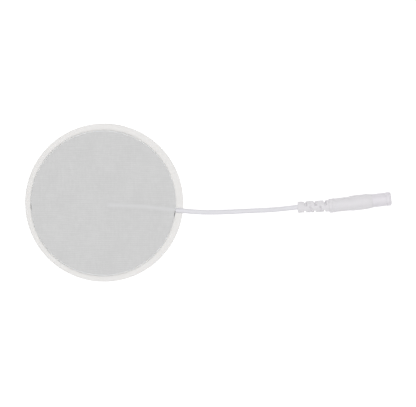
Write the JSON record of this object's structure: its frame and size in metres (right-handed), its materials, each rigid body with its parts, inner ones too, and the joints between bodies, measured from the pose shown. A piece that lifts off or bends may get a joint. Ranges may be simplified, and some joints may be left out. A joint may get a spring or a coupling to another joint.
{
  "type": "tens electrode pad",
  "caption": "Round foam-backed electrode pad with a grey woven gel face, a thin white lead pressed under it and a moulded pin socket plug.",
  "frame": {"origin": "middle of the foam backing's underside, on the surface that the pad lies on", "axes": "+Z up through the pad's thickness, towards the skin face; +X towards the side where the lead leaves; +Y up in the picture's plan view"},
  "size_m": [0.1159, 0.05, 0.0048],
  "materials": {
    "foam": "closed-cell polyethylene foam, matt, slightly warm white",
    "carbon_film": "carbon-loaded vinyl film, satin black",
    "hydrogel": "milky translucent hydrogel, wet sheen on its edge",
    "scrim": "fine plain weave wetted out with gel, light neutral grey",
    "lead_jacket": "extruded soft PVC, satin, cool white",
    "conductor": "tinned copper strands",
    "plug_moulding": "moulded soft PVC, satin, cool white",
    "plug_sleeve": "moulded hard polypropylene, smooth, cool white",
    "contact": "nickel-plated brass, bright"
  },
  "bodies": {
    "root": {"foam_backing": "foam", "carbon_film": "carbon_film", "hydrogel": "hydrogel", "gel_scrim": "scrim", "lead_wire": "lead_jacket", "conductor_fan": "conductor", "conductor_tail": "conductor", "plug_overmould": "plug_moulding", "plug_insulator": "plug_sleeve", "socket_contact": "contact"}
  },
  "joints": []
}
